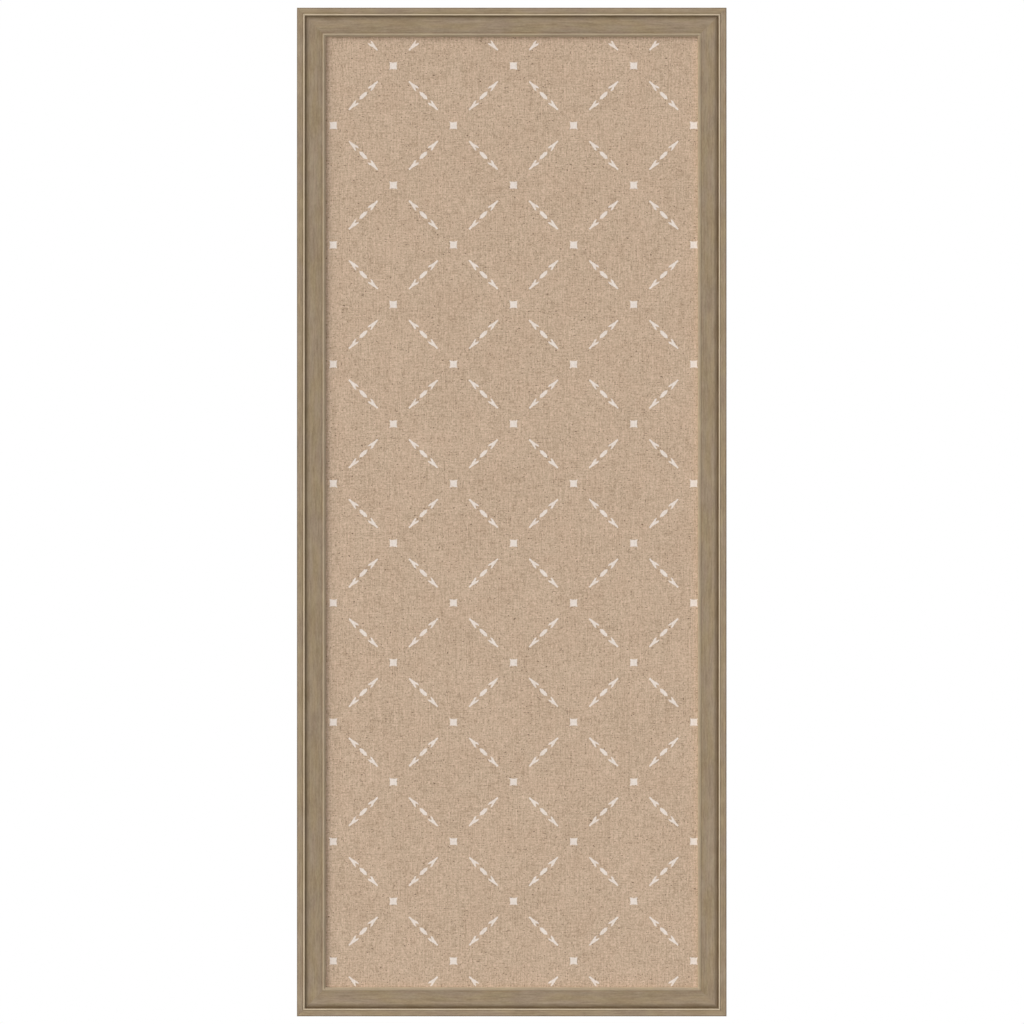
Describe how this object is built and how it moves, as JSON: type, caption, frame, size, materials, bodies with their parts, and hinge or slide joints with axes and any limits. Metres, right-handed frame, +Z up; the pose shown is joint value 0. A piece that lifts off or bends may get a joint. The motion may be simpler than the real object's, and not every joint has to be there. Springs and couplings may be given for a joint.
{
  "type": "framed fabric memo board",
  "caption": "Tall wall memo board: a linen-covered cork panel with a printed trellis, in a mitred moulded frame that hangs from two swinging D-rings.",
  "frame": {"origin": "the middle of the board's back, on the wall that it hangs against", "axes": "+Z up along the long sides, +X to the right as seen from the front, +Y into the wall; the linen faces -Y"},
  "size_m": [0.453, 0.0269, 1.0636],
  "materials": {
    "moulding": "wood painted warm taupe, brushed along each length, with rubbed lighter beads and a dark glaze in the step",
    "linen": "natural linen in a plain slubbed weave, printed with an off-white trellis of small squares and dashes",
    "cork": "fine pressed cork, unseen",
    "hardboard": "brown hardboard, unseen",
    "paper": "brown kraft paper with faint machine lines",
    "steel": "nickel-plated steel, dull bright",
    "rubber": "black felted rubber, matt"
  },
  "bodies": {
    "board": {"frame_top_rail": "moulding", "frame_right_stile": "moulding", "frame_bottom_rail": "moulding", "frame_left_stile": "moulding", "v_nail_top_right_outer": "steel", "v_nail_top_right_inner": "steel", "v_nail_bottom_right_outer": "steel", "v_nail_bottom_right_inner": "steel", "v_nail_bottom_left_outer": "steel", "v_nail_bottom_left_inner": "steel", "v_nail_top_left_outer": "steel", "v_nail_top_left_inner": "steel", "linen_cover": "linen", "cork_board": "cork", "hardboard_backing": "hardboard", "framing_point_top_1": "steel", "framing_point_top_2": "steel", "framing_point_right_1": "steel", "framing_point_right_2": "steel", "framing_point_right_3": "steel", "framing_point_right_4": "steel", "framing_point_right_5": "steel", "framing_point_bottom_1": "steel", "framing_point_bottom_2": "steel", "framing_point_left_1": "steel", "framing_point_left_2": "steel", "framing_point_left_3": "steel", "framing_point_left_4": "steel", "framing_point_left_5": "steel", "dust_cover": "paper", "left_strap_hanger": "steel", "left_upper_screw": "steel", "left_lower_screw": "steel", "right_strap_hanger": "steel", "right_upper_screw": "steel", "right_lower_screw": "steel", "left_bumper": "rubber", "right_bumper": "rubber"},
    "left_ring": {"left_d_ring": "steel"},
    "right_ring": {"right_d_ring": "steel"}
  },
  "joints": [
    {"name": "left_ring_swing", "type": "hinge", "parent": "board", "child": "left_ring", "pos_m": [-0.2146, -0.0026, 0.3318], "axis": [1, 0, 0], "range_deg": [0, 184]},
    {"name": "right_ring_swing", "type": "hinge", "parent": "board", "child": "right_ring", "pos_m": [0.2146, -0.0026, 0.3318], "axis": [1, 0, 0], "range_deg": [0, 184]}
  ]
}
